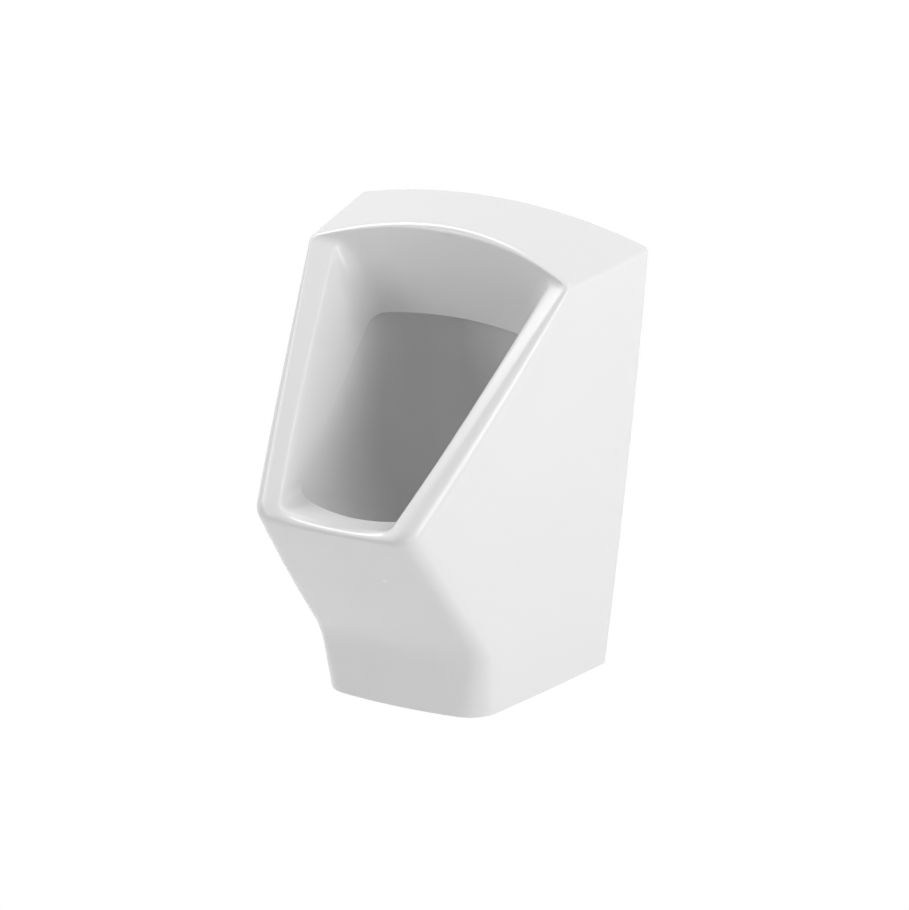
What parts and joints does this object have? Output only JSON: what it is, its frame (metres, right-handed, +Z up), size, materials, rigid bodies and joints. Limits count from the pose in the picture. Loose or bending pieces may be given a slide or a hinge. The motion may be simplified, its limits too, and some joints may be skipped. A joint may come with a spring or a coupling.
{
  "type": "wall-hung urinal",
  "caption": "Wall-hung ceramic urinal with an arched top, slanted rimmed mouth, hidden bottle trap, rear inlet with spreader and hook brackets.",
  "frame": {"origin": "on the wall's face, at the centre of the four wall fixings, in the middle of the width", "axes": "+X to the right of someone facing the urinal, +Y into the wall, +Z up"},
  "size_m": [0.351, 0.4236, 0.502],
  "materials": {
    "glazed_ceramic": "gloss",
    "chromed": "polished",
    "white_plastic": "gloss",
    "grey_plastic": "matte",
    "black_rubber": "matte",
    "brass": "satin",
    "steel": "satin"
  },
  "bodies": {
    "urinal": {"ceramic_body": "glazed_ceramic", "waste_flange": "chromed", "waste_top_gasket": "black_rubber", "waste_bottom_gasket": "black_rubber", "waste_backnut": "white_plastic", "trap_inlet_nut": "white_plastic", "trap_inlet_seal": "black_rubber", "trap_inlet_tube": "white_plastic", "trap_top_nut": "white_plastic", "trap_top_seal": "black_rubber", "trap_bottle": "white_plastic", "trap_outlet_nut": "white_plastic", "trap_outlet_seal": "black_rubber", "outlet_pipe": "white_plastic", "outlet_wall_ring": "black_rubber", "inlet_spud": "brass", "inlet_gasket": "black_rubber", "inlet_washer": "steel", "inlet_nut": "brass", "spreader": "chromed", "left_hanger_bracket": "steel", "right_hanger_bracket": "steel", "hanger_buffers": "black_rubber", "hanger_washers": "steel", "hanger_screws": "steel", "wall_plugs": "grey_plastic"},
    "strainer": {"outlet_strainer": "chromed"},
    "cup_seal": {"trap_cup_seal": "black_rubber"},
    "cup": {"trap_cup": "white_plastic"}
  },
  "joints": [
    {"name": "strainer_lift", "type": "slide", "parent": "urinal", "child": "strainer", "axis": [0, 0, 1], "range_m": [0, 0.08]},
    {"name": "cup_drop", "type": "slide", "parent": "urinal", "child": "cup_seal", "axis": [0, 0, -1], "range_m": [0, 0.012]},
    {"name": "cup_turn", "type": "hinge", "parent": "cup_seal", "child": "cup", "pos_m": [0, -0.125, -0.376], "axis": [0, 0, -1], "range_deg": [0, 1080]}
  ],
  "couplings": [
    {"joint": "cup_drop", "follows": "cup_turn", "m_per_rad": 0.00063662}
  ]
}
